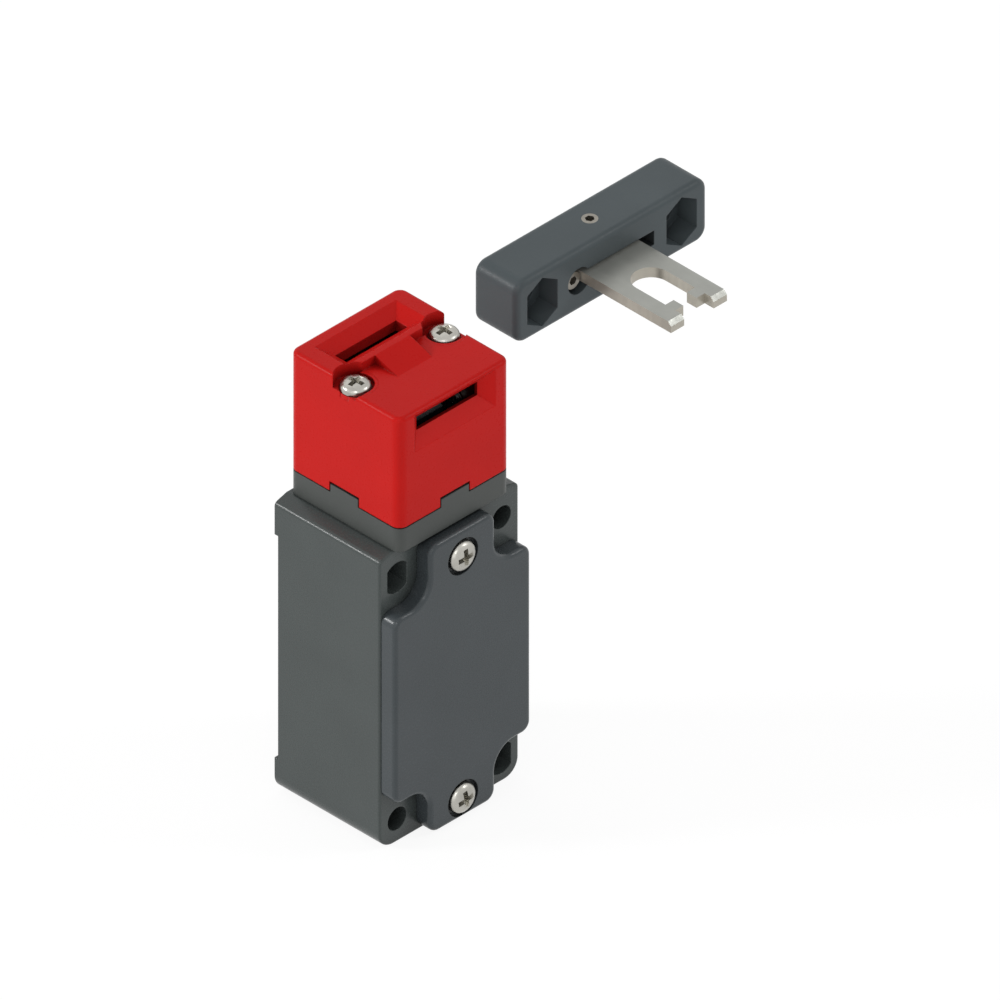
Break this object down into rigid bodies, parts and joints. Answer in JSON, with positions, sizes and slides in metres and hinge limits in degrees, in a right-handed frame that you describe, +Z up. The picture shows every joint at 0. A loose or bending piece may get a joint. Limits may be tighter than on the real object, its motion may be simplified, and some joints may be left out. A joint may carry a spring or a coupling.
{
  "type": "tongue interlock switch",
  "caption": "Safety switch with a red slotted head on a grey housing, and its separate fork-shaped steel tongue in a grey block.",
  "frame": {"origin": "centre of the four fixing holes, on the rear mounting plane", "axes": "+Z up towards the head, +Y into the mounting surface, the cover faces -Y, +X across to the actuator's side"},
  "size_m": [0.112, 0.0375, 0.108],
  "materials": {
    "grey_plastic": "fine moulded grey glass-filled plastic",
    "collar_plastic": "fine moulded neutral grey plastic",
    "red_plastic": "satin moulded red plastic",
    "black_plastic": "smooth black acetal",
    "white_plastic": "smooth natural acetal",
    "beige_plastic": "moulded contact block plastic",
    "black_rubber": "soft black sealing rubber",
    "zinc_steel": "zinc plated steel",
    "stainless_steel": "matt stainless steel",
    "contact_brass": "brass contact strip"
  },
  "bodies": {
    "switch": {"housing": "grey_plastic", "contact_block": "beige_plastic", "lower_contacts": "contact_brass", "upper_contacts": "contact_brass", "terminal_screws": "zinc_steel", "block_screws": "zinc_steel", "collar": "collar_plastic", "collar_screws": "zinc_steel", "guide_bush": "white_plastic", "plunger_seal": "black_rubber", "head": "red_plastic", "head_screws": "zinc_steel", "cam_cradle": "stainless_steel", "cam_axle": "stainless_steel", "actuator_block": "grey_plastic", "swing_screw": "zinc_steel", "stop_screw": "zinc_steel"},
    "cover": {"cover": "grey_plastic", "cover_gasket": "black_rubber", "cover_screws": "zinc_steel"},
    "cam": {"drive_cam": "black_plastic"},
    "plunger": {"plunger": "white_plastic", "contact_carrier": "white_plastic", "lower_bridge": "contact_brass", "upper_bridge": "contact_brass", "return_spring": "stainless_steel"},
    "tongue": {"tongue": "stainless_steel"}
  },
  "joints": [
    {"name": "plunger_slide", "type": "slide", "parent": "switch", "child": "plunger", "axis": [0, 0, 1], "range_m": [0, 0.003], "deforming": ["return_spring"]},
    {"name": "cam_turn", "type": "hinge", "parent": "switch", "child": "cam", "pos_m": [0, -0.016, 0.0567], "axis": [-1, 0, 0], "range_deg": [0, 60]},
    {"name": "cover_lift", "type": "slide", "parent": "switch", "child": "cover", "axis": [0, -1, 0], "range_m": [0, 0.02]},
    {"name": "tongue_swing", "type": "hinge", "parent": "switch", "child": "tongue", "pos_m": [0.0645, -0.0061, 0.06], "axis": [0, 0, 1], "range_deg": [0, 18]}
  ],
  "couplings": [
    {"joint": "cam_turn", "follows": "plunger_slide", "rad_per_m": 349.06}
  ]
}
